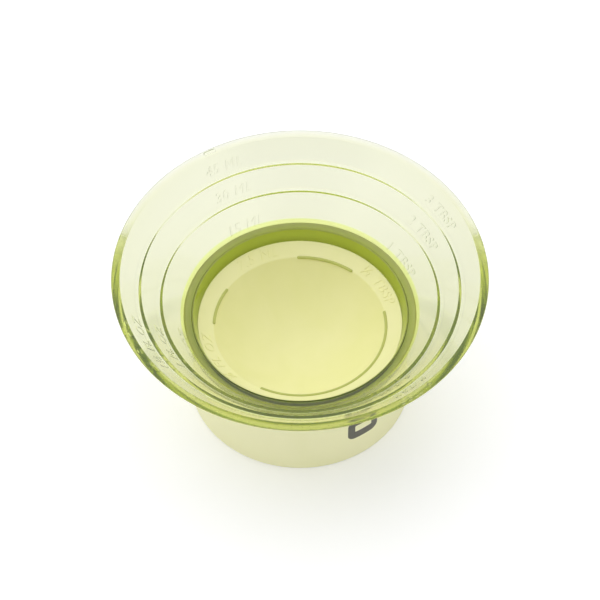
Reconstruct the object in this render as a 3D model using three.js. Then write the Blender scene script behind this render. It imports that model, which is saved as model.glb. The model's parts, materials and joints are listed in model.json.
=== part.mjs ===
// A small canning funnel that also measures. A clear stepped funnel stands on a pale sleeve that goes
// into a jar's mouth, and a soft bowl plugs the funnel's neck, to be pushed up and out from below.
// Millimetres, +Z up. The origin is the centre of the sleeve's foot, and every piece is round about Z.
import * as THREE from "three";

// ---- funnel ----
const RIM_RADIUS = 42; // outside edge of the funnel's mouth
const OVERALL_HEIGHT = 39.2;
const WALL = 1.36; // clear plastic, square to its surface, the same all the way down the cone
const RIM_EDGE = 0.25; // height of the upright edge outside the rim's flat land
const LEDGE = 0.8; // width of each measuring ledge
const RIM_INSIDE = { r: 40.1, z: OVERALL_HEIGHT };
const LEDGE_45 = { r: 36.3, z: 35.3 }; // outer edge of the ledge that marks 45 ml
const LEDGE_30 = { r: 31.7, z: 30.9 }; // outer edge of the ledge that marks 30 ml
const NECK = { r: 26, z: 25 }; // outer edge of the neck's ledge, which marks 15 ml
const NECK_EDGE = { r: 24.2, z: 24.85 }; // inner edge of the same ledge
const NECK_FOOT = { r: 23.2, z: 22.2 }; // where the neck's steep band turns down into the tube
const TUBE_WALL = 1;
const TUBE_END_Z = 3;
const TUBE_LIP = 1.5; // height and width of the lip inside the tube's end, which the bowl rests on

// ---- sleeve ----
const SLEEVE_RADIUS = 25.6; // goes into a jar mouth of 60 mm
const FLARE_DEPTH = 1.2; // upright thickness of the sleeve where its straight outside ends
const SEAT_RADIUS = 27; // outer edge of the flared seat, which follows the cone's outside
const SEAT_EDGE = 0.35; // thickness of that edge
const FOOT_ROUND = 0.5; // rounded outer edge of the foot
const GAP = 0.3; // between pieces that touch

// ---- bowl ----
const BOWL_WALL = 1.5;
const BOWL_LIP_Z = 22; // top of the bowl, just under the neck's foot
const BOWL_EDGE = { r: 19.6, z: 20.3 }; // where the shelf turns down into the bowl
const BOWL_DEPTH = 10.6; // from its edge to its lowest point

// ---- fineness ----
const TURN_SEGMENTS = 64;
const BOWL_STEPS = 8; // facets from the bowl's edge to its middle

// The bowl is part of a sphere, whose radius follows from its edge and depth.
const BOWL_SPHERE = (BOWL_EDGE.r ** 2 + BOWL_DEPTH ** 2) / (2 * BOWL_DEPTH);
const SPHERE_CENTRE_Z = BOWL_EDGE.z - BOWL_DEPTH + BOWL_SPHERE;
const BOWL_RADIUS = NECK_FOOT.r - GAP;
const TUBE_RADIUS = NECK_FOOT.r + TUBE_WALL;

const point = (r, z) => new THREE.Vector2(r, z);
const at = (place) => point(place.r, place.z);
const inward = (ledge) => ({ r: ledge.r - LEDGE, z: ledge.z });
const BOTTOM_STAGE = [NECK, inward(LEDGE_30)];

// Height on the lower half of a sphere about the bowl's centre, at a distance r from the axis.
const sphereZ = (radius, r) => SPHERE_CENTRE_Z - Math.sqrt(radius ** 2 - r ** 2);

// Points along such a sphere from one distance to another, evenly spaced by angle.
function bowlArc(radius, fromR, toR) {
  const from = Math.asin(fromR / radius);
  const to = Math.asin(toR / radius);
  return Array.from({ length: BOWL_STEPS + 1 }, (_, i) => {
    const r = radius * Math.sin(from + ((to - from) * i) / BOWL_STEPS);
    return point(r, sphereZ(radius, r));
  });
}

// Distance from the axis, at a height z, of the outside of the wall whose inside runs from low to high.
function outsideOf(low, high, z) {
  const slope = Math.atan2(high.z - low.z, high.r - low.r);
  return low.r + (z - low.z) / Math.tan(slope) + WALL / Math.sin(slope);
}

// Height of the outside of the cone's lowest stage at a distance r from the axis.
function coneOutsideZ(r) {
  const [low, high] = BOTTOM_STAGE;
  const steepness = (high.z - low.z) / (high.r - low.r);
  return low.z + (r - outsideOf(low, high, low.z)) * steepness;
}

// A profile turned about Z. It runs up the outside and down the inside, so that the faces point out,
// and one that doesn't start on the axis is closed on itself.
function turned(name, profile, material) {
  const closed = profile[0].x > 0 ? [...profile, profile[0].clone()] : profile;
  const geometry = new THREE.LatheGeometry(closed, TURN_SEGMENTS);
  geometry.rotateX(Math.PI / 2);
  const mesh = new THREE.Mesh(geometry, material);
  mesh.name = name;
  return mesh;
}

// ---- materials ----
const clearPlastic = () =>
  new THREE.MeshStandardMaterial({
    color: 0xc3d84a,
    roughness: 0.08,
    metalness: 0,
    opacity: 0.35,
    transparent: true,
  });
const sleevePlastic = () =>
  new THREE.MeshStandardMaterial({ color: 0xe4e8b4, roughness: 0.5, metalness: 0 });
const silicone = () =>
  new THREE.MeshStandardMaterial({ color: 0xe2e6ac, roughness: 0.65, metalness: 0 });

// The clear funnel: a cone of even wall with two measuring ledges, then the neck and its long tube.
function clearFunnel() {
  const topStage = [LEDGE_45, RIM_INSIDE];
  const middleStage = [LEDGE_30, inward(LEDGE_45)];
  const stepOutside = (above, below, z) => [
    point(outsideOf(...below, z), z),
    point(outsideOf(...above, z), z),
  ];
  const lipTopZ = TUBE_END_Z + TUBE_LIP;
  const outside = [
    point(NECK_FOOT.r - TUBE_LIP, TUBE_END_Z),
    point(TUBE_RADIUS, TUBE_END_Z),
    point(TUBE_RADIUS, coneOutsideZ(TUBE_RADIUS)),
    ...stepOutside(middleStage, BOTTOM_STAGE, LEDGE_30.z - WALL),
    ...stepOutside(topStage, middleStage, LEDGE_45.z - WALL),
    point(RIM_RADIUS, OVERALL_HEIGHT - RIM_EDGE),
    point(RIM_RADIUS, OVERALL_HEIGHT),
  ];
  const cone = [RIM_INSIDE, LEDGE_45, inward(LEDGE_45), LEDGE_30, inward(LEDGE_30)];
  const neck = [NECK, NECK_EDGE, NECK_FOOT];
  const tube = [point(NECK_FOOT.r, lipTopZ), point(NECK_FOOT.r - TUBE_LIP, lipTopZ)];
  return turned("clear_funnel", [...outside, ...[...cone, ...neck].map(at), ...tube], clearPlastic());
}

// The pale sleeve round the tube. It flares out at the top into a seat for the cone.
function baseSleeve() {
  const inside = TUBE_RADIUS + GAP;
  const footArc = FOOT_ROUND * (1 - Math.SQRT1_2);
  const [low, high] = BOTTOM_STAGE;
  const coneAngle = Math.atan2(high.z - low.z, high.r - low.r);
  const under = GAP / Math.cos(coneAngle); // straight down, for a gap that is square to the seat
  const profile = [
    point(inside, 0),
    point(SLEEVE_RADIUS - FOOT_ROUND, 0),
    point(SLEEVE_RADIUS - footArc, footArc),
    point(SLEEVE_RADIUS, FOOT_ROUND),
    point(SLEEVE_RADIUS, coneOutsideZ(SLEEVE_RADIUS) - under - FLARE_DEPTH),
    point(SEAT_RADIUS, coneOutsideZ(SEAT_RADIUS) - under - SEAT_EDGE),
    point(SEAT_RADIUS, coneOutsideZ(SEAT_RADIUS) - under),
    point(inside, coneOutsideZ(inside) - under),
  ];
  return turned("base_sleeve", profile, sleevePlastic());
}

// The soft bowl: a skirt that fits in the tube, a sloping shelf, and the bowl itself, open underneath.
function measuringBowl() {
  const underBowl = BOWL_SPHERE + BOWL_WALL;
  const skirtInside = BOWL_RADIUS - BOWL_WALL;
  const skirtEndZ = TUBE_END_Z + TUBE_LIP + GAP;
  const underEdgeR = BOWL_EDGE.r + BOWL_WALL / 2;
  const profile = [
    ...bowlArc(underBowl, 0, underEdgeR),
    point(skirtInside, sphereZ(underBowl, underEdgeR)),
    point(skirtInside, skirtEndZ),
    point(BOWL_RADIUS, skirtEndZ),
    point(BOWL_RADIUS, BOWL_LIP_Z),
    ...bowlArc(BOWL_SPHERE, BOWL_EDGE.r, 0),
  ];
  return turned("measuring_bowl", profile, silicone());
}

const funnel = new THREE.Group();
funnel.name = "canning_funnel";
funnel.add(baseSleeve(), clearFunnel(), measuringBowl());

export default funnel;
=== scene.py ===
# %% [markdown]
# # A clear measuring funnel with a soft bowl in its neck
# Three moulded pieces make this funnel. A clear lime-green funnel has ledges that measure what is poured
# in, a pale sleeve round its tube stands on the table or drops into a jar's mouth, and a soft bowl plugs
# the tube until it is pushed up and out. All of them are round, so most of this lesson is about turning a
# good profile, about raising small letters on a curved wall, and about what makes clear plastic look clear.

# %% Load the frame
import json
import math

import bpy
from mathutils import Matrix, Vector

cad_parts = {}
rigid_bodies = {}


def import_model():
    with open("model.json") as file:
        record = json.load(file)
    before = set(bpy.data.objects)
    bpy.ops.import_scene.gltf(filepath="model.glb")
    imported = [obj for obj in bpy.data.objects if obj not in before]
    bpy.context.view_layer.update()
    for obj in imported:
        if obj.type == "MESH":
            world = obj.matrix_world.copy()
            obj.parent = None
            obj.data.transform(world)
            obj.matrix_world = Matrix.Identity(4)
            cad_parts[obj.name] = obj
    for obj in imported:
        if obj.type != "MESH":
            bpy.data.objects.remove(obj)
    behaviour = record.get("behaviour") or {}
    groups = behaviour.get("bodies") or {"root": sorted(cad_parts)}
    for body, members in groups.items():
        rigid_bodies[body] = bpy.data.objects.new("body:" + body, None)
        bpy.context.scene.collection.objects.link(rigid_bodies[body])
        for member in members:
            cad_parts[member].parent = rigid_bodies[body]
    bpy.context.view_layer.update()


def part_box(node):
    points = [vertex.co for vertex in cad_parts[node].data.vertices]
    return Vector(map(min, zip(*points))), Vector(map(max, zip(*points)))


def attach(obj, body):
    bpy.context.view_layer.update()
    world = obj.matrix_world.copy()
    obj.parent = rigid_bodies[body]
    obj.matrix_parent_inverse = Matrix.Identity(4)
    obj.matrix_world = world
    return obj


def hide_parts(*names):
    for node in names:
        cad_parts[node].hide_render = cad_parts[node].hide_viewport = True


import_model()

MM = 0.001

# %% [markdown]
# ## The camera first
# A long lens from well back keeps the near and far sides of the rim almost the same size. The camera looks
# steeply down into the bowl. It is placed by its distance from the middle of the rim, in rim radii, and by
# its tilt.

# %% Camera
LENS_MM = 180
LOOK_DOWN = math.radians(52.95)
CAMERA_AHEAD, CAMERA_ABOVE_RIM = 9.68, 12.6  # in rim radii

rim_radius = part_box("clear_funnel")[1].x
rim_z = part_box("clear_funnel")[1].z
camera_data = bpy.data.cameras.new("camera")
camera_data.lens = LENS_MM
camera_data.sensor_width = 36
camera_data.clip_start, camera_data.clip_end = 0.05, 20
camera = bpy.data.objects.new("camera", camera_data)
camera.location = (0, -CAMERA_AHEAD * rim_radius, rim_z + CAMERA_ABOVE_RIM * rim_radius)
camera.rotation_euler = (math.pi / 2 - LOOK_DOWN, 0, 0)
scene = bpy.context.scene
scene.collection.objects.link(camera)
scene.camera = camera
print("camera at", [round(x, 3) for x in camera.location])

# %% [markdown]
# ## Light and floor
# Clear plastic shows what is behind it, with a little of what is in front of it mirrored on top. In an
# evenly white room the two add up to white and the walls disappear. So the room here is dimmer behind the
# camera, which is the part that the far wall mirrors. A broad lamp overhead, a little behind and to the
# left, leaves a faint soft shadow.

# %% World, lamps and floor
FLOOR_SIZE = 6
TABLE_WHITE, TABLE_ROUGHNESS = (0.98, 0.98, 0.98, 1), 0.7
TABLE_LIFT, LIFT_COLOUR = 0.2, (0.86, 0.87, 1, 1)  # light that the table adds where it is seen directly
LIGHT_BOUNCES = 64  # light guided inside a clear wall is reflected dozens of times before it leaves
WORLD_STRENGTH = 0.92
DIM_STRENGTH = 0.36  # of the room behind the camera
DIM_FROM, DIM_FULL = 0.72, 0.96  # cosine of the angle from the camera's direction
KEY_PLACE, KEY_AIM = (-0.5, 0.5, 1.6), (0, 0, 0.02)
KEY_SIZE, KEY_WATTS = 3, 12


def add_area_lamp(name, place, aim, size, watts):
    data = bpy.data.lights.new(name, "AREA")
    data.shape = "DISK"
    data.size = size
    data.energy = watts
    lamp = bpy.data.objects.new(name, data)
    lamp.location = place
    lamp.rotation_euler = (Vector(aim) - Vector(place)).to_track_quat("-Z", "Y").to_euler()
    scene.collection.objects.link(lamp)


scene.view_settings.view_transform = "Standard"
scene.cycles.max_bounces = LIGHT_BOUNCES
scene.cycles.transmission_bounces = LIGHT_BOUNCES
scene.cycles.glossy_bounces = LIGHT_BOUNCES
world = bpy.data.worlds.new("white surround")
world.use_nodes = True
surround = world.node_tree.nodes["Background"]
surround.inputs["Color"].default_value = (1, 1, 1, 1)
direction = world.node_tree.nodes.new("ShaderNodeTexCoord")
nearness = world.node_tree.nodes.new("ShaderNodeVectorMath")
nearness.operation = "DOT_PRODUCT"
nearness.inputs[1].default_value = camera.location.normalized()
dimmer = world.node_tree.nodes.new("ShaderNodeMapRange")
dimmer.interpolation_type = "SMOOTHSTEP"
for socket, value in zip(dimmer.inputs[1:5], (DIM_FROM, DIM_FULL, WORLD_STRENGTH, DIM_STRENGTH)):
    socket.default_value = value
world.node_tree.links.new(direction.outputs["Generated"], nearness.inputs[0])
world.node_tree.links.new(nearness.outputs["Value"], dimmer.inputs[0])
world.node_tree.links.new(dimmer.outputs[0], surround.inputs["Strength"])
scene.world = world
add_area_lamp("overhead key", KEY_PLACE, KEY_AIM, KEY_SIZE, KEY_WATTS)

floor_mesh = bpy.data.meshes.new("floor")
half = FLOOR_SIZE / 2
corners = [(-half, -half, 0), (half, -half, 0), (half, half, 0), (-half, half, 0)]
floor_mesh.from_pydata(corners, [], [(0, 1, 2, 3)])
floor = bpy.data.objects.new("floor", floor_mesh)
scene.collection.objects.link(floor)
paper = bpy.data.materials.new("white table")
paper.use_nodes = True
surface = paper.node_tree.nodes["Principled BSDF"]
surface.inputs["Base Color"].default_value = TABLE_WHITE
surface.inputs["Roughness"].default_value = TABLE_ROUGHNESS
surface.inputs["Emission Color"].default_value = LIFT_COLOUR
seen = paper.node_tree.nodes.new("ShaderNodeLightPath")
lift = paper.node_tree.nodes.new("ShaderNodeMath")
lift.operation = "MULTIPLY"
lift.inputs[1].default_value = TABLE_LIFT
paper.node_tree.links.new(seen.outputs["Is Camera Ray"], lift.inputs[0])
paper.node_tree.links.new(lift.outputs[0], surface.inputs["Emission Strength"])
floor_mesh.materials.append(paper)
print("floor", FLOOR_SIZE, "m across, world at", WORLD_STRENGTH)

# %% [markdown]
# ## Node helpers
# Both kinds of node tree, for shapes and for materials, are built the same way: add a node, set its
# sockets, link it. One small helper does the three at once, so that each tree below reads from top to
# bottom.

# %% Helpers for node trees
def add_node(tree, kind, inputs=None, **settings):
    """A node whose inputs are given by socket name or number, as plain values or as another node's output."""
    node = tree.nodes.new(kind)
    for key, value in settings.items():
        setattr(node, key, value)
    for key, value in (inputs or {}).items():
        if isinstance(value, bpy.types.NodeSocket):
            tree.links.new(value, node.inputs[key])
        else:
            node.inputs[key].default_value = value
    return node


def calculate(tree, operation, *values):
    """A Math node's output: one small sum."""
    return add_node(tree, "ShaderNodeMath", dict(enumerate(values)), operation=operation).outputs[0]


def new_tree(name, kind, inputs, outputs):
    """A node group with named sockets, and its two end nodes."""
    tree = bpy.data.node_groups.new(name, kind)
    for socket_name, socket_type in inputs:
        tree.interface.new_socket(socket_name, in_out="INPUT", socket_type=f"NodeSocket{socket_type}")
    for socket_name, socket_type in outputs:
        tree.interface.new_socket(socket_name, in_out="OUTPUT", socket_type=f"NodeSocket{socket_type}")
    return tree, tree.nodes.new("NodeGroupInput").outputs, tree.nodes.new("NodeGroupOutput").inputs


def mesh_from_tree(name, tree, values, base=None):
    """Runs a Geometry Nodes tree once, with its inputs named in values, and returns a plain mesh."""
    holder = bpy.data.objects.new(name, base or bpy.data.meshes.new(name))
    scene.collection.objects.link(holder)
    modifier = holder.modifiers.new(tree.name, "NODES")
    modifier.node_group = tree
    for item in tree.interface.items_tree:
        if item.in_out == "INPUT" and item.name in values:
            modifier[item.identifier] = values[item.name]
    evaluated = holder.evaluated_get(bpy.context.evaluated_depsgraph_get())
    made = bpy.data.meshes.new_from_object(evaluated)
    bpy.data.objects.remove(holder)
    made.name = name
    return made


print("helpers ready")

# %% [markdown]
# ## Turning a profile
# A moulded round piece is a profile swept once round its axis. The Screw and Spin tools can do it, but a
# Geometry Nodes tree keeps the fineness as an input: a circle carries the profile, Curve to Mesh sweeps it,
# and Merge by Distance closes the pole where a profile meets the axis.

# %% The turning tree
PATH_RADIUS = 20 * MM  # the carrying circle. The profile is given relative to it.


def build_turning_tree():
    tree, given, result = new_tree(
        "turn a profile",
        "GeometryNodeTree",
        [("Profile", "Geometry"), ("Turn Steps", "Int"), ("Path Radius", "Float"), ("Finish", "Material")],
        [("Mesh", "Geometry")],
    )
    profile = add_node(tree, "GeometryNodeMeshToCurve", {"Mesh": given["Profile"]})
    circle = add_node(
        tree,
        "GeometryNodeCurvePrimitiveCircle",
        {"Resolution": given["Turn Steps"], "Radius": given["Path Radius"]},
    )
    swept = add_node(
        tree,
        "GeometryNodeCurveToMesh",
        {"Curve": circle.outputs["Curve"], "Profile Curve": profile.outputs["Curve"]},
    )
    closed = add_node(
        tree, "GeometryNodeMergeByDistance", {"Geometry": swept.outputs["Mesh"], "Distance": 0.5e-6}
    )
    smooth = add_node(tree, "GeometryNodeSetShadeSmooth", {"Geometry": closed.outputs["Geometry"]})
    real = add_node(tree, "GeometryNodeRealizeInstances", {"Geometry": smooth.outputs["Geometry"]})
    finished = add_node(
        tree,
        "GeometryNodeSetMaterial",
        {"Geometry": real.outputs["Geometry"], "Material": given["Finish"]},
    )
    tree.links.new(finished.outputs["Geometry"], result["Mesh"])
    return tree


turning_tree = build_turning_tree()
print("turning tree:", len(turning_tree.nodes), "nodes")

# %% [markdown]
# ## Rounded corners
# No moulded corner is truly sharp, and each small round catches a line of light. A profile is a list of
# corners with a radius each. Every corner becomes a short curve, with one more point just outside each end
# of it, so that smooth shading stays on the round and leaves the flat walls flat.

# %% Profiles with rounded corners
CORNER_STEPS = 4
GUARD = 0.12  # mm from the end of a round to the point that keeps the wall flat


def rounded(corners, closed=True):
    """Corners (r, z, radius) in mm to points (r, z) in mm."""
    points = []
    last = len(corners) - 1
    for i, (r, z, radius) in enumerate(corners):
        here = Vector((r, z))
        if radius == 0 or (not closed and i in (0, last)):
            points.append(here)
            continue
        back = Vector(corners[i - 1][:2]) - here
        ahead = Vector(corners[(i + 1) % len(corners)][:2]) - here
        turn = math.pi - back.angle(ahead)
        cut = min(radius * math.tan(turn / 2), 0.4 * back.length, 0.4 * ahead.length)
        guard = min(GUARD, 0.1 * back.length, 0.1 * ahead.length)
        back.normalize()
        ahead.normalize()
        points.append(here + back * (cut + guard))
        for k in range(CORNER_STEPS + 1):
            t = k / CORNER_STEPS
            points.append(here + back * (cut * (1 - t) ** 2) + ahead * (cut * t**2))
        points.append(here + ahead * (cut + guard))
    return points


def turn_piece(name, corners, steps, finish, closed=True):
    """A turned mesh, in metres, from corners in mm."""
    points = rounded(corners, closed)
    wire = bpy.data.meshes.new(f"{name} profile")
    edges = [(i, i + 1) for i in range(len(points) - 1)]
    if closed:
        edges.append((len(points) - 1, 0))
    wire.from_pydata([(p.x * MM - PATH_RADIUS, -p.y * MM, 0) for p in points], edges, [])
    values = {"Turn Steps": steps, "Path Radius": PATH_RADIUS, "Finish": finish}
    made = mesh_from_tree(name, turning_tree, values, wire)
    if enclosed_volume(made) < 0:
        made.flip_normals()
    print(f"{name}: {len(made.vertices)} points, {enclosed_volume(made) / MM**3:.0f} cubic mm")
    return made


def enclosed_volume(mesh):
    """Positive where the faces point outwards."""
    mesh.calc_loop_triangles()
    where = mesh.vertices
    return sum(
        where[a].co.dot(where[b].co.cross(where[c].co)) / 6
        for a, b, c in (t.vertices for t in mesh.loop_triangles)
    )


# %% [markdown]
# ## Effects that several plastics share
# Moulded plastic isn't perfectly even. The first group gives fine hairline scratches and soft smudges,
# which change the roughness. The second gives the faint swirl that a mould leaves where the plastic flowed.
# They are node groups with named sockets, so each material sets its own strength.

# %% Handling wear and moulding flow
def build_wear_group():
    tree, given, result = new_tree(
        "handling wear",
        "ShaderNodeTree",
        [("Roughness", "Float"), ("Smudges", "Float"), ("Scratches", "Float"), ("Scale", "Float")],
        [("Roughness", "Float"), ("Height", "Float")],
    )
    place = add_node(tree, "ShaderNodeTexCoord").outputs["Object"]
    cloud = add_node(
        tree, "ShaderNodeTexNoise", {"Vector": place, "Scale": given["Scale"], "Detail": 4, "Roughness": 0.6}
    )
    patches = add_node(
        tree, "ShaderNodeMapRange", {"Value": cloud.outputs["Fac"], "From Min": 0.45, "From Max": 0.75}
    )
    bent = add_node(tree, "ShaderNodeTexNoise", {"Vector": place, "Scale": 60, "Detail": 1})
    bend = (0.012, 0.012, 0.012)
    shifted = add_node(
        tree, "ShaderNodeVectorMath", {0: bent.outputs["Color"], 1: bend}, operation="MULTIPLY"
    )
    moved = add_node(tree, "ShaderNodeVectorMath", {0: place, 1: shifted.outputs[0]}, operation="ADD")
    cells = add_node(
        tree,
        "ShaderNodeTexVoronoi",
        {"Vector": moved.outputs[0], "Scale": calculate(tree, "MULTIPLY", given["Scale"], 3.2)},
        feature="DISTANCE_TO_EDGE",
    )
    hairlines = add_node(
        tree,
        "ShaderNodeMapRange",
        {"Value": cells.outputs["Distance"], "From Min": 0.0, "From Max": 0.012, "To Min": 1, "To Max": 0},
    )
    worn = calculate(tree, "MULTIPLY", hairlines.outputs[0], patches.outputs[0])
    added = calculate(
        tree,
        "ADD",
        calculate(tree, "MULTIPLY", patches.outputs[0], given["Smudges"]),
        calculate(tree, "MULTIPLY", worn, given["Scratches"]),
    )
    tree.links.new(calculate(tree, "ADD", given["Roughness"], added), result["Roughness"])
    tree.links.new(calculate(tree, "MULTIPLY", worn, -1), result["Height"])
    return tree


def build_flow_group():
    tree, given, result = new_tree(
        "moulding flow",
        "ShaderNodeTree",
        [("Colour", "Color"), ("Second Colour", "Color"), ("Scale", "Float")],
        [("Colour", "Color"), ("Height", "Float")],
    )
    place = add_node(tree, "ShaderNodeTexCoord").outputs["Object"]
    stretched = add_node(tree, "ShaderNodeMapping", {"Vector": place, "Scale": (1, 1, 0.35)})
    swirl = add_node(
        tree,
        "ShaderNodeTexNoise",
        {"Vector": stretched.outputs[0], "Scale": given["Scale"], "Detail": 3, "Distortion": 0.8},
    )
    soft = add_node(
        tree, "ShaderNodeMapRange", {"Value": swirl.outputs["Fac"], "From Min": 0.3, "From Max": 0.7}
    )
    blend = add_node(
        tree,
        "ShaderNodeMix",
        {0: soft.outputs[0], 6: given["Colour"], 7: given["Second Colour"]},
        data_type="RGBA",
    )
    tree.links.new(blend.outputs[2], result["Colour"])
    tree.links.new(swirl.outputs["Fac"], result["Height"])
    return tree


wear_group = build_wear_group()
flow_group = build_flow_group()
print("shader groups:", wear_group.name, "and", flow_group.name)


# %% [markdown]
# ## Helpers for materials
# Colours are easier to choose as numbers from 0 to 255, but a shader adds and multiplies light, so it needs
# them linear. The other two helpers start a material and place a shared group in it.

# %% Helpers for materials
def srgb(red, green, blue):
    """A colour given from 0 to 255, as the linear numbers that a shader takes."""
    shares = [value / 255 for value in (red, green, blue)]
    return (*[c / 12.92 if c <= 0.04045 else ((c + 0.055) / 1.055) ** 2.4 for c in shares], 1)


def new_material(name):
    material = bpy.data.materials.new(name)
    material.use_nodes = True
    return material, material.node_tree, material.node_tree.nodes["Principled BSDF"]


def fill_group(tree, group, values):
    node = tree.nodes.new("ShaderNodeGroup")
    node.node_tree = group
    for key, value in values.items():
        node.inputs[key].default_value = value
    return node


print("middle grey is", round(srgb(128, 128, 128)[0], 3), "as linear light")

# %% [markdown]
# ## Clear lime-green plastic
# A pane of this plastic is almost colourless, but its edges are strongly green, because light that enters
# an edge travels a long way inside the wall. Tinting the surface can't show that. An absorbing volume does:
# it takes a little red and green, and more blue, from each millimetre of the way. The surface is polished,
# with a few hairlines.
#
# Much of the light that a cone gathers is guided down the wall and leaves at the neck. Path tracing finds few
# of those ways, so the neck and tube get a slightly deeper painted green and a weak painted emission, both
# switched in by height. Both are painted light that stands in for the guided light.

# %% Clear plastic
CLEAR_IOR = 1.53
ABSORBED_PER_MM = (0.046, 0.036, 0.19)  # of red, green and blue light
# painted light: a deeper green and a weak emission at the neck stand in for light guided down the wall
NECK_GUIDED_LIGHT_TINT = srgb(240, 252, 140)
NECK_PAINTED_GLOW, PAINTED_GLOW_STRENGTH = srgb(160, 192, 0), 0.07
CLEAR_SURFACE = {"Roughness": 0.045, "Smudges": 0.03, "Scratches": 0.12, "Scale": 55}
PAINTED_NECK_FROM, PAINTED_NECK_FULL = 25.05, 24.7  # height in mm between the plain cone and the neck and tube, where the painted green and painted emission come in


def make_clear_plastic():
    material, tree, shader = new_material("clear lime plastic")
    place = add_node(tree, "ShaderNodeTexCoord").outputs["Object"]
    height = add_node(tree, "ShaderNodeSeparateXYZ", {0: place}).outputs["Z"]
    in_neck = add_node(
        tree,
        "ShaderNodeMapRange",
        {"Value": height, "From Min": PAINTED_NECK_FROM * MM, "From Max": PAINTED_NECK_FULL * MM},
        interpolation_type="SMOOTHSTEP",
    )
    # painted light at the neck: the deeper green and the weak emission, faded in by height
    no_tint = (1, 1, 1, 1)
    guided_light_tints = {0: in_neck.outputs[0], 6: no_tint, 7: NECK_GUIDED_LIGHT_TINT}
    guided_light_tint = add_node(tree, "ShaderNodeMix", guided_light_tints, data_type="RGBA")
    tree.links.new(guided_light_tint.outputs[2], shader.inputs["Base Color"])
    shader.inputs["Emission Color"].default_value = NECK_PAINTED_GLOW
    painted_glow = calculate(tree, "MULTIPLY", in_neck.outputs[0], PAINTED_GLOW_STRENGTH)
    tree.links.new(painted_glow, shader.inputs["Emission Strength"])
    shader.inputs["Transmission Weight"].default_value = 1
    shader.inputs["IOR"].default_value = CLEAR_IOR
    wear = fill_group(tree, wear_group, CLEAR_SURFACE)
    tree.links.new(wear.outputs["Roughness"], shader.inputs["Roughness"])
    strongest = max(ABSORBED_PER_MM)
    volume = add_node(
        tree,
        "ShaderNodeVolumeAbsorption",
        {
            "Color": (*[1 - taken / strongest for taken in ABSORBED_PER_MM], 1),
            "Density": strongest / MM,
        },
    )
    tree.links.new(volume.outputs[0], tree.nodes["Material Output"].inputs["Volume"])
    return material


clear_plastic = make_clear_plastic()
print("clear plastic absorbs", ABSORBED_PER_MM, "per mm")

# %% [markdown]
# ## Pale plastic, soft silicone and ink
# The sleeve is an opaque satin plastic with a very fine grain. The bowl is silicone: a little yellower,
# softer in its shine, and lightly dusted by handling. Its raised line is the same silicone in a darker
# colour, which is painted shade for the shade that gathers along so thin a ridge. The printed mark on the
# sleeve is a flat dark ink with thin spots in it.

# %% Pale plastic, silicone and ink
SLEEVE_COLOURS = (srgb(249, 247, 201), srgb(246, 245, 196))
SILICONE_COLOURS = (srgb(249, 246, 183), srgb(246, 244, 176))
# the darker colour of the bowl's line is painted shade
LINE_SHADE_COLOURS = (srgb(196, 200, 112), srgb(190, 195, 104))
INK_COLOURS = (srgb(92, 92, 84), srgb(104, 104, 95))


def make_sleeve_plastic():
    material, tree, shader = new_material("pale green plastic")
    colours = {"Colour": SLEEVE_COLOURS[0], "Second Colour": SLEEVE_COLOURS[1], "Scale": 70}
    flow = fill_group(tree, flow_group, colours)
    wear = fill_group(tree, wear_group, {"Roughness": 0.38, "Smudges": 0.1, "Scratches": 0.15, "Scale": 45})
    tree.links.new(flow.outputs["Colour"], shader.inputs["Base Color"])
    tree.links.new(wear.outputs["Roughness"], shader.inputs["Roughness"])
    place = add_node(tree, "ShaderNodeTexCoord").outputs["Object"]
    grain = add_node(tree, "ShaderNodeTexNoise", {"Vector": place, "Scale": 1800, "Detail": 2})
    fine = calculate(tree, "MULTIPLY", grain.outputs["Fac"], 0.4)
    height = calculate(tree, "ADD", fine, wear.outputs["Height"])
    bump = add_node(tree, "ShaderNodeBump", {"Height": height, "Strength": 0.08, "Distance": 0.0002})
    tree.links.new(bump.outputs["Normal"], shader.inputs["Normal"])
    return material


def make_silicone():
    material, tree, shader = new_material("soft green silicone")
    colours = {"Colour": SILICONE_COLOURS[0], "Second Colour": SILICONE_COLOURS[1], "Scale": 120}
    flow = fill_group(tree, flow_group, colours)
    wear = fill_group(tree, wear_group, {"Roughness": 0.5, "Smudges": 0.15, "Scratches": 0.0, "Scale": 150})
    tree.links.new(flow.outputs["Colour"], shader.inputs["Base Color"])
    tree.links.new(wear.outputs["Roughness"], shader.inputs["Roughness"])
    shader.inputs["Sheen Weight"].default_value = 0.08
    bump = add_node(
        tree, "ShaderNodeBump", {"Height": flow.outputs["Height"], "Strength": 0.1, "Distance": 0.0003}
    )
    tree.links.new(bump.outputs["Normal"], shader.inputs["Normal"])
    return material


def recoloured(plain, name, colours):
    """The same material in another pair of colours."""
    material = plain.copy()
    material.name = f"{plain.name}, {name}"
    for node in material.node_tree.nodes:
        if node.type == "GROUP" and node.node_tree == flow_group:
            node.inputs["Colour"].default_value = colours[0]
            node.inputs["Second Colour"].default_value = colours[1]
    return material


def make_ink():
    material, tree, shader = new_material("dark print")
    colours = {"Colour": INK_COLOURS[0], "Second Colour": INK_COLOURS[1], "Scale": 900}
    flow = fill_group(tree, flow_group, colours)
    wear = fill_group(tree, wear_group, {"Roughness": 0.45, "Smudges": 0.1, "Scratches": 0.1, "Scale": 200})
    tree.links.new(flow.outputs["Colour"], shader.inputs["Base Color"])
    tree.links.new(wear.outputs["Roughness"], shader.inputs["Roughness"])
    bump = add_node(
        tree, "ShaderNodeBump", {"Height": flow.outputs["Height"], "Strength": 0.1, "Distance": 0.0001}
    )
    tree.links.new(bump.outputs["Normal"], shader.inputs["Normal"])
    return material


sleeve_plastic, silicone, ink = make_sleeve_plastic(), make_silicone(), make_ink()
# the bowl's line in darker silicone: painted shade
shaded_line_silicone = recoloured(silicone, "measuring line in painted shade", LINE_SHADE_COLOURS)
print("materials:", clear_plastic.name, "/", sleeve_plastic.name, "/", silicone.name, "/", ink.name)

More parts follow.
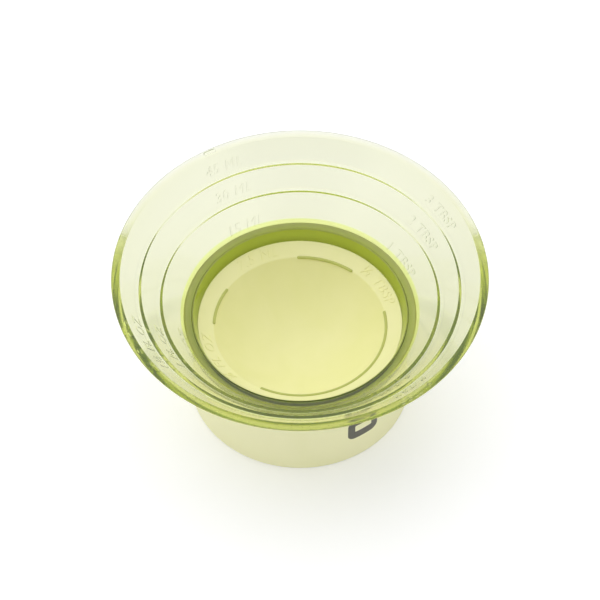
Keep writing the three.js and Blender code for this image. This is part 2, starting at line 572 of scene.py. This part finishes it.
# %% [markdown]
# ## The sizes
# The same corners as the CAD solids', with moulded rounds. The bowl is part of a sphere, and its radius
# follows from how wide and how deep it is. The cone's wall is even, so its outside follows every ledge of
# its inside. Light that enters at the rim or at a ledge is then guided down between the two faces, and
# comes out as a green line.

# %% Sizes in mm
WALL = 1.36  # square to the cone
GAP = 0.3
RIM_EDGE = 0.25
LEDGE = 0.8
RIM_INSIDE = (40.1, rim_z / MM)
LEDGE_45 = (36.3, 35.3)
LEDGE_30 = (31.7, 30.9)
NECK = (26.0, 25.0)
NECK_EDGE = (24.2, 24.85)
NECK_FOOT = (23.2, 22.2)
RIDGE = 0.4  # width of the fine ridge along the neck ledge's inner edge
TUBE_WALL = 1.0
TUBE_LIP = 1.5
BOWL_WALL = 1.5
BOWL_LIP_Z = 22.0
BOWL_EDGE = (19.6, 20.3)
BOWL_DEPTH = 10.6

RIM_R = rim_radius / MM
SLEEVE_R = 25.6
SEAT_EDGE = 0.35
FLARE_DEPTH = 1.2
SEAT_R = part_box("base_sleeve")[1].x / MM
TUBE_END_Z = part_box("clear_funnel")[0].z / MM
TUBE_R = NECK_FOOT[0] + TUBE_WALL
TOUCH = 0.02  # where one piece presses on another, its face is this far past the other's
BOWL_R = NECK_FOOT[0] + TOUCH
SPHERE_R = (BOWL_EDGE[0] ** 2 + BOWL_DEPTH**2) / (2 * BOWL_DEPTH)
SPHERE_Z = BOWL_EDGE[1] - BOWL_DEPTH + SPHERE_R
print(f"rim radius {RIM_R:.1f}, bowl sphere radius {SPHERE_R:.2f} mm")

# %% [markdown]
# ## The clear funnel
# Inside: three sloping stages with a flat ledge between them, the two bands of the neck, and the tube with
# its lip. Outside: the same stages one wall away, the shoulder that sits on the sleeve, and the tube.

# %% Turn the funnel
TURN_STEPS = 240


def slope_of(low, high):
    return math.atan2(high[1] - low[1], high[0] - low[0])


def outside_of(low, high, z):
    """Distance from the axis, at a height, of the outside of the wall whose inside runs from low to high."""
    slope = slope_of(low, high)
    return low[0] + (z - low[1]) / math.tan(slope) + WALL / math.sin(slope)


def inward(ledge):
    return (ledge[0] - LEDGE, ledge[1])


def cone_outside_z(r):
    """Height of the outside of the cone's lowest stage at a distance from the axis."""
    low, high = STAGES["bottom"]
    return low[1] + (r - outside_of(low, high, low[1])) * math.tan(slope_of(low, high))


STAGES = {
    "top": (LEDGE_45, RIM_INSIDE),
    "middle": (LEDGE_30, inward(LEDGE_45)),
    "bottom": (NECK, inward(LEDGE_30)),
}


def funnel_corners():
    z_30, z_45 = LEDGE_30[1] - WALL, LEDGE_45[1] - WALL
    lip_r, lip_z = NECK_FOOT[0] - TUBE_LIP, TUBE_END_Z + TUBE_LIP
    outside = [
        (lip_r, TUBE_END_Z, 0.2),
        (TUBE_R, TUBE_END_Z, 0.2),
        (TUBE_R, cone_outside_z(TUBE_R), 0),
        (outside_of(*STAGES["bottom"], z_30), z_30, 0.15),
        (outside_of(*STAGES["middle"], z_30), z_30, 0.12),
        (outside_of(*STAGES["middle"], z_45), z_45, 0.15),
        (outside_of(*STAGES["top"], z_45), z_45, 0.12),
        (RIM_R, RIM_INSIDE[1] - RIM_EDGE, 0.15),
        (RIM_R, RIM_INSIDE[1], 0.15),
    ]
    inside = [
        (*RIM_INSIDE, 0.15),
        (*LEDGE_45, 0.12),
        (*inward(LEDGE_45), 0.15),
        (*LEDGE_30, 0.12),
        (*inward(LEDGE_30), 0.15),
        (*NECK, 0.25),
        (NECK_EDGE[0] + RIDGE, NECK_EDGE[1], 0.05),
        (NECK_EDGE[0] + RIDGE / 2, NECK_EDGE[1] + RIDGE / 2, 0.15),
        (NECK_EDGE[0] - 0.05, NECK_EDGE[1], 0.1),
        (*NECK_FOOT, 0.25),
        (NECK_FOOT[0], lip_z, 0.2),
        (lip_r, lip_z, 0.2),
    ]
    return outside + inside


funnel_mesh = turn_piece("clear_funnel", funnel_corners(), TURN_STEPS, clear_plastic)

# %% [markdown]
# ## The sleeve and the bowl
# The sleeve is a plain ring with a rounded foot. The bowl has a skirt that fits in the tube, a shelf that
# slopes down from the neck, and the round bowl itself, hollow underneath for a finger.

# %% Turn the sleeve and the bowl
def sphere_z(radius, r):
    return SPHERE_Z - math.sqrt(radius**2 - r**2)


def bowl_arc(radius, from_r, to_r, steps=24, end_rounds=(0, 0)):
    """Points along a sphere about the bowl's centre. Its two ends may be rounded corners."""
    start, stop = math.asin(from_r / radius), math.asin(to_r / radius)
    arc = []
    for i in range(steps + 1):
        r = radius * math.sin(start + (stop - start) * i / steps)
        arc.append((r, sphere_z(radius, r), 0))
    arc[0] = (*arc[0][:2], end_rounds[0])
    arc[-1] = (*arc[-1][:2], end_rounds[1])
    return arc


def sleeve_corners():
    inside = TUBE_R - TOUCH
    return [
        (inside, 0, 0.2),
        (SLEEVE_R, 0, 0.6),
        (SLEEVE_R, cone_outside_z(SLEEVE_R) - FLARE_DEPTH, 2),
        (SEAT_R, cone_outside_z(SEAT_R) - SEAT_EDGE, 0.1),
        (SEAT_R, cone_outside_z(SEAT_R) + TOUCH, 0.05),
        (inside, cone_outside_z(inside) + 2 * TOUCH, 0),
    ]


def bowl_corners():
    under, skirt_r = SPHERE_R + BOWL_WALL, BOWL_R - BOWL_WALL
    under_edge = BOWL_EDGE[0] + BOWL_WALL / 2
    skirt_end_z = TUBE_END_Z + TUBE_LIP + GAP
    return [
        *bowl_arc(under, 0, under_edge, end_rounds=(0, 0.3)),
        (skirt_r, sphere_z(under, under_edge), 0.3),
        (skirt_r, skirt_end_z, 0.3),
        (BOWL_R, skirt_end_z, 0.3),
        (BOWL_R, BOWL_LIP_Z, 0.15),
        *bowl_arc(SPHERE_R, BOWL_EDGE[0], 0, end_rounds=(0.8, 0)),
    ]


sleeve_mesh = turn_piece("sleeve", sleeve_corners(), TURN_STEPS, sleeve_plastic)
bowl_mesh = turn_piece("bowl", bowl_corners(), TURN_STEPS, silicone, closed=False)

# %% [markdown]
# ## Small raised shapes on a curved wall
# The measures are moulded as letters that stand about a tenth of a millimetre proud of the cone. Each one
# is made flat, as a closed little solid, and then wrapped: across becomes an angle round the axis, up
# becomes a way up the slope, and thickness becomes a way off the wall. One tree does the wrapping, and the
# trees for words and for rounded tiles both end in it.

# %% The wrapping tree
WALL_SOCKETS = [
    ("Ring Radius", "Float"),
    ("Ring Height", "Float"),
    ("Slope", "Float"),
    ("Bearing", "Float"),
    ("Facing", "Float"),
]


def build_wrapping_tree():
    tree, given, result = new_tree(
        "wrap on a turned wall",
        "GeometryNodeTree",
        [("Mesh", "Geometry"), ("Slant", "Float"), ("Sink", "Float"), *WALL_SOCKETS],
        [("Mesh", "Geometry")],
    )
    place = add_node(tree, "GeometryNodeInputPosition").outputs[0]
    x, y, z = add_node(tree, "ShaderNodeSeparateXYZ", {0: place}).outputs
    across = calculate(tree, "ADD", x, calculate(tree, "MULTIPLY", y, given["Slant"]))
    off = calculate(tree, "MULTIPLY", calculate(tree, "SUBTRACT", z, given["Sink"]), given["Facing"])
    sine, cosine = calculate(tree, "SINE", given["Slope"]), calculate(tree, "COSINE", given["Slope"])
    along = calculate(tree, "MULTIPLY_ADD", y, cosine, given["Ring Radius"])
    out = calculate(tree, "MULTIPLY_ADD", off, sine, along)
    up = calculate(tree, "MULTIPLY_ADD", y, sine, given["Ring Height"])
    height = calculate(tree, "SUBTRACT", up, calculate(tree, "MULTIPLY", off, cosine))
    share = calculate(tree, "DIVIDE", across, given["Ring Radius"])
    turn = calculate(tree, "MULTIPLY", share, given["Facing"])
    angle = calculate(tree, "ADD", given["Bearing"], turn)
    placed = add_node(
        tree,
        "ShaderNodeCombineXYZ",
        {
            0: calculate(tree, "MULTIPLY", out, calculate(tree, "COSINE", angle)),
            1: calculate(tree, "MULTIPLY", out, calculate(tree, "SINE", angle)),
            2: height,
        },
    )
    moved = add_node(
        tree, "GeometryNodeSetPosition", {"Geometry": given["Mesh"], "Position": placed.outputs[0]}
    )
    tree.links.new(moved.outputs[0], result["Mesh"])
    return tree


wrapping_tree = build_wrapping_tree()
print("wrapping tree:", len(wrapping_tree.nodes), "nodes")

# %% [markdown]
# ## Flat shapes that become raised ones
# A word and a tile differ only in how their flat outline is made. After that both are filled, thickened
# into a closed solid that starts a little inside the wall, and wrapped, so that end is one function.

# %% Words and tiles
LETTER_STEPS = 4  # straight pieces in each curve of a letter
SOLID_SOCKETS = [
    ("Slant", "Float"),
    ("Raise", "Float"),
    ("Sink", "Float"),
    *WALL_SOCKETS,
    ("Finish", "Material"),
]


def raise_and_wrap(tree, given, result, filled):
    """The end of both trees: thicken a flat filled shape into a closed solid, wrap it, and finish it."""
    thickness = calculate(tree, "ADD", given["Raise"], given["Sink"])
    upward = add_node(tree, "ShaderNodeCombineXYZ", {2: 1.0}).outputs[0]
    risen = add_node(
        tree,
        "GeometryNodeExtrudeMesh",
        {"Mesh": filled, "Offset": upward, "Offset Scale": thickness, "Individual": False},
    )
    under = add_node(tree, "GeometryNodeFlipFaces", {"Mesh": filled})
    both = add_node(tree, "GeometryNodeJoinGeometry")
    tree.links.new(risen.outputs["Mesh"], both.inputs[0])
    tree.links.new(under.outputs[0], both.inputs[0])
    solid = add_node(tree, "GeometryNodeMergeByDistance", {"Geometry": both.outputs[0], "Distance": 1e-6})
    wrap = add_node(tree, "GeometryNodeGroup", node_tree=wrapping_tree)
    tree.links.new(solid.outputs[0], wrap.inputs["Mesh"])
    for name in ("Slant", "Sink", *[socket for socket, _ in WALL_SOCKETS]):
        tree.links.new(given[name], wrap.inputs[name])
    real = add_node(tree, "GeometryNodeRealizeInstances", {"Geometry": wrap.outputs[0]})
    finished = add_node(
        tree, "GeometryNodeSetMaterial", {"Geometry": real.outputs[0], "Material": given["Finish"]}
    )
    tree.links.new(finished.outputs[0], result["Mesh"])


def build_words_tree():
    tree, given, result = new_tree(
        "raised words",
        "GeometryNodeTree",
        [("Words", "String"), ("Size", "Float"), ("Spacing", "Float"), *SOLID_SOCKETS],
        [("Mesh", "Geometry")],
    )
    text = add_node(
        tree,
        "GeometryNodeStringToCurves",
        {"String": given["Words"], "Size": given["Size"], "Character Spacing": given["Spacing"]},
        align_x="CENTER",
    )
    loose = add_node(tree, "GeometryNodeRealizeInstances", {"Geometry": text.outputs["Curve Instances"]})
    coarse = add_node(
        tree, "GeometryNodeSetSplineResolution", {"Geometry": loose.outputs[0], "Resolution": LETTER_STEPS}
    )
    filled = add_node(tree, "GeometryNodeFillCurve", {"Curve": coarse.outputs[0]})
    raise_and_wrap(tree, given, result, filled.outputs[0])
    return tree


def build_tile_tree():
    tree, given, result = new_tree(
        "rounded tile",
        "GeometryNodeTree",
        [("Width", "Float"), ("Height", "Float"), ("Corner", "Float"), *SOLID_SOCKETS],
        [("Mesh", "Geometry")],
    )
    box = add_node(
        tree, "GeometryNodeCurvePrimitiveQuadrilateral", {"Width": given["Width"], "Height": given["Height"]}
    )
    soft = add_node(
        tree,
        "GeometryNodeFilletCurve",
        {"Curve": box.outputs[0], "Count": 6, "Radius": given["Corner"]},
        mode="POLY",
    )
    filled = add_node(tree, "GeometryNodeFillCurve", {"Curve": soft.outputs[0]})
    fine = add_node(tree, "GeometryNodeSubdivideMesh", {"Mesh": filled.outputs[0], "Level": 4})
    raise_and_wrap(tree, given, result, fine.outputs[0])
    return tree


words_tree, tile_tree = build_words_tree(), build_tile_tree()
print("words:", len(words_tree.nodes), "nodes, tile:", len(tile_tree.nodes), "nodes")

# %% [markdown]
# ## A bead that ends in round tips
# A raised line is a small circle swept along an arc. Sweeping alone would end it in flat cuts, so the sweep
# shrinks over its last stretch as a half circle does: by the square root of one less the square of the
# share that is missing.

# %% The bead tree
BEAD_STEPS, BEAD_SIDES = 240, 10


def build_bead_tree():
    tree, given, result = new_tree(
        "bead along an arc",
        "GeometryNodeTree",
        [
            ("Ring Radius", "Float"),
            ("Ring Height", "Float"),
            ("From", "Float"),
            ("Sweep", "Float"),
            ("Bead", "Float"),
            ("Finish", "Material"),
        ],
        [("Mesh", "Geometry")],
    )
    arc = add_node(
        tree,
        "GeometryNodeCurveArc",
        {
            "Resolution": BEAD_STEPS,
            "Radius": given["Ring Radius"],
            "Start Angle": given["From"],
            "Sweep Angle": given["Sweep"],
        },
    )
    lift = add_node(tree, "ShaderNodeCombineXYZ", {2: given["Ring Height"]}).outputs[0]
    raised = add_node(tree, "GeometryNodeSetPosition", {"Geometry": arc.outputs[0], "Offset": lift})
    along = add_node(tree, "GeometryNodeSplineParameter").outputs
    total = calculate(tree, "MULTIPLY", given["Ring Radius"], given["Sweep"])
    left = calculate(tree, "SUBTRACT", total, along["Length"])
    to_end = calculate(tree, "MINIMUM", along["Length"], left)
    share = calculate(tree, "MINIMUM", calculate(tree, "DIVIDE", to_end, given["Bead"]), 1)
    missing = calculate(tree, "SUBTRACT", 1, share)
    round_tip = calculate(
        tree, "SQRT", calculate(tree, "SUBTRACT", 1.0001, calculate(tree, "MULTIPLY", missing, missing))
    )
    section = add_node(
        tree, "GeometryNodeCurvePrimitiveCircle", {"Resolution": BEAD_SIDES, "Radius": given["Bead"]}
    )
    rod = add_node(
        tree,
        "GeometryNodeCurveToMesh",
        {
            "Curve": raised.outputs[0],
            "Profile Curve": section.outputs[0],
            "Scale": round_tip,
            "Fill Caps": True,
        },
    )
    smooth = add_node(tree, "GeometryNodeSetShadeSmooth", {"Geometry": rod.outputs[0]})
    real = add_node(tree, "GeometryNodeRealizeInstances", {"Geometry": smooth.outputs[0]})
    finished = add_node(
        tree, "GeometryNodeSetMaterial", {"Geometry": real.outputs[0], "Material": given["Finish"]}
    )
    tree.links.new(finished.outputs[0], result["Mesh"])
    return tree


bead_tree = build_bead_tree()
print("bead tree:", len(bead_tree.nodes), "nodes")

# %% [markdown]
# ## Joining the raised shapes to the piece
# A letter that only overlaps a clear wall would show its hidden back through it, so the letters are joined
# to the wall as one solid. Afterwards every edge sharper than a moulded round is marked sharp, which keeps
# the walls smooth.

# %% Join solids
SHARPEST_SMOOTH = math.radians(32)


def joined(name, base, extras):
    """One mesh that holds a base mesh and several raised ones, as a single solid."""
    holder = bpy.data.objects.new(name, base)
    scene.collection.objects.link(holder)
    group = bpy.data.collections.new(f"{name} raised")
    scene.collection.children.link(group)
    for extra in extras:
        group.objects.link(bpy.data.objects.new(extra.name, extra))
    modifier = holder.modifiers.new("join", "BOOLEAN")
    modifier.operation = "UNION"
    modifier.operand_type = "COLLECTION"
    modifier.collection = group
    modifier.solver = "MANIFOLD"
    evaluated = holder.evaluated_get(bpy.context.evaluated_depsgraph_get())
    made = bpy.data.meshes.new_from_object(evaluated)
    made.name = name
    for raised in list(group.objects):
        bpy.data.objects.remove(raised)
    bpy.data.collections.remove(group)
    bpy.data.objects.remove(holder)
    made.set_sharp_from_angle(angle=SHARPEST_SMOOTH)
    print(f"{name}: joined {len(extras)} raised shapes, now {len(made.polygons)} faces")
    return made


# %% [markdown]
# ## The measures
# Four columns of measures face the middle of the cone, each measure just above the line that it names:
# fluid ounces, millilitres, tablespoons and teaspoons. Three of them go on down to the bowl, whose line is
# a raised bead that is broken where the measures stand.

# %% Raise the measures
LETTER_SIZE, LETTER_SPACING, SLANT = 3.2, 1.15, 0.22
LETTER_RAISE, LETTER_SINK = 0.12, 0.3
MEASURE_RISE = 1.0  # from a line up to the foot of the letters on it, along the slope
INSIDE, OUTSIDE = -1.0, 1.0
LINES = [*STAGES.values(), (BOWL_EDGE, (BOWL_R, BOWL_LIP_Z))]
COLUMNS = {  # bearing in degrees, and a measure for each line from the top
    208: ("1½ FL OZ", "1 FL OZ", "½ FL OZ", "¼ FL OZ"),
    118: ("45 ML", "30 ML", "15 ML", "7.5 ML"),
    32: ("3 TBSP", "2 TBSP", "1 TBSP", "½ TBSP"),
    310: ("9 TSP", "6 TSP", "3 TSP"),
}


def wall_values(low, high, up, bearing, facing, finish, **more):
    """Inputs that place a shape on the wall from low to high, some way up it, at a bearing in degrees."""
    slope = slope_of(low, high)
    return {
        "Ring Radius": (low[0] + up * math.cos(slope)) * MM,
        "Ring Height": (low[1] + up * math.sin(slope)) * MM,
        "Slope": slope,
        "Bearing": math.radians(bearing),
        "Facing": facing,
        "Finish": finish,
        **more,
    }


def measure(words, low, high, bearing, finish):
    values = wall_values(
        low,
        high,
        MEASURE_RISE,
        bearing,
        INSIDE,
        finish,
        **{
            "Words": words,
            "Size": LETTER_SIZE * MM,
            "Spacing": LETTER_SPACING,
            "Slant": SLANT,
            "Raise": LETTER_RAISE * MM,
            "Sink": LETTER_SINK * MM,
        },
    )
    return mesh_from_tree(words, words_tree, values)


funnel_extras, bowl_extras = [], []
for bearing, labels in COLUMNS.items():
    for words, (low, high) in zip(labels, LINES):
        on_bowl = low == BOWL_EDGE
        extras, finish = (bowl_extras, silicone) if on_bowl else (funnel_extras, clear_plastic)
        extras.append(measure(words, low, high, bearing, finish))
print(len(funnel_extras), "measures on the cone,", len(bowl_extras), "on the bowl")

# %% [markdown]
# ## The bowl's line, the gate mark and the print
# The bead along the bowl's edge runs in three arcs. The plastic went into the funnel's mould at the rim,
# and the place where it was cut off stands out a little. The sleeve carries a small printed sign of a jar
# with a label on it.

# %% Bead, gate mark and print
BEAD, BEAD_SINK = 0.36, 0.05
BEAD_ARCS = [(243, 372), (52, 92), (148, 179)]  # bearings in degrees
for start, stop in BEAD_ARCS:
    values = {
        "Ring Radius": BOWL_EDGE[0] * MM,
        "Ring Height": (BOWL_EDGE[1] - BEAD_SINK) * MM,
        "From": math.radians(start),
        "Sweep": math.radians(stop - start),
        "Bead": BEAD * MM,
        "Finish": shaded_line_silicone,
    }
    bowl_extras.append(mesh_from_tree("line", bead_tree, values))


def tile(name, width, height, corner, low, high, up, bearing, facing, finish, lift, sink):
    values = wall_values(
        low,
        high,
        up,
        bearing,
        facing,
        finish,
        **{
            "Width": width * MM,
            "Height": height * MM,
            "Corner": corner * MM,
            "Slant": 0.0,
            "Raise": lift * MM,
            "Sink": sink * MM,
        },
    )
    return mesh_from_tree(name, tile_tree, values)


GATE_BEARING = 120
GATE_LENGTH, GATE_WIDTH, GATE_CORNER, GATE_RAISE, GATE_SINK = 3.0, 0.9, 0.4, 0.2, 0.3
z_45 = LEDGE_45[1] - WALL
outer_low = (outside_of(*STAGES["top"], z_45), z_45)
outer_high = (RIM_R, RIM_INSIDE[1] - RIM_EDGE)
gate_place = (outer_low, outer_high, math.dist(outer_low, outer_high) - GATE_WIDTH, GATE_BEARING, OUTSIDE)
gate_size = (GATE_LENGTH, GATE_WIDTH, GATE_CORNER)
funnel_extras.append(tile("gate mark", *gate_size, *gate_place, clear_plastic, GATE_RAISE, GATE_SINK))
funnel_mesh = joined("clear_funnel", funnel_mesh, funnel_extras)
bowl_mesh = joined("bowl", bowl_mesh, bowl_extras)


def on_bead(place):
    """Whether a place in metres is on the bead, give or take 2 % of its radius."""
    x, y, z = place / MM
    bearing = math.degrees(math.atan2(y, x))
    off_line = math.hypot(math.hypot(x, y) - BOWL_EDGE[0], z - BOWL_EDGE[1] + BEAD_SINK)
    in_arc = any((bearing - start) % 360 < stop - start for start, stop in BEAD_ARCS)
    return in_arc and off_line < BEAD * 1.02


# the bead's faces take the darker silicone, which is painted shade
bowl_mesh.materials.append(shaded_line_silicone)
beaded = [face for face in bowl_mesh.polygons if on_bead(face.center)]
for face in beaded:
    face.material_index = len(bowl_mesh.materials) - 1
print(len(beaded), "faces of the bowl are on its line")

PRINT_BEARING, PRINT_Z = 304, 11.0
INK_RAISE, LABEL_RAISE, PRINT_SINK = 0.02, 0.035, 0.04
SLEEVE_LINE = ((SLEEVE_R, 0), (SLEEVE_R, 20))
PRINT = {  # width, height, corner, height above the jar's middle, finish, raise
    "jar": (8.0, 6.8, 1.8, 0, ink, INK_RAISE),
    "lid": (6.0, 1.3, 0.45, 4.6, ink, INK_RAISE),
    "label": (4.4, 2.2, 0.3, 0.2, sleeve_plastic, LABEL_RAISE),
}
print_tiles = {}
for name, (width, height, corner, z, finish, lift) in PRINT.items():
    place = (*SLEEVE_LINE, PRINT_Z + z, PRINT_BEARING, OUTSIDE)
    print_tiles[name] = tile(f"print_{name}", width, height, corner, *place, finish, lift, PRINT_SINK)
print("print:", list(print_tiles))

# %% [markdown]
# ## Each piece in its place
# Every piece rides on the body of the CAD solid that it stands in for, so it moves with that body's joint.

# %% Put the pieces in the frame
def add_piece(name, mesh, body, node):
    piece = bpy.data.objects.new(name, mesh)
    scene.collection.objects.link(piece)
    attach(piece, body)
    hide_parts(node)
    print(f"{name} rides on {body}")


add_piece("funnel", funnel_mesh, "funnel", "clear_funnel")
add_piece("sleeve", sleeve_mesh, "sleeve", "base_sleeve")
add_piece("bowl", bowl_mesh, "bowl", "measuring_bowl")
for name, print_tile in print_tiles.items():
    add_piece(f"print_{name}", print_tile, "sleeve", "base_sleeve")
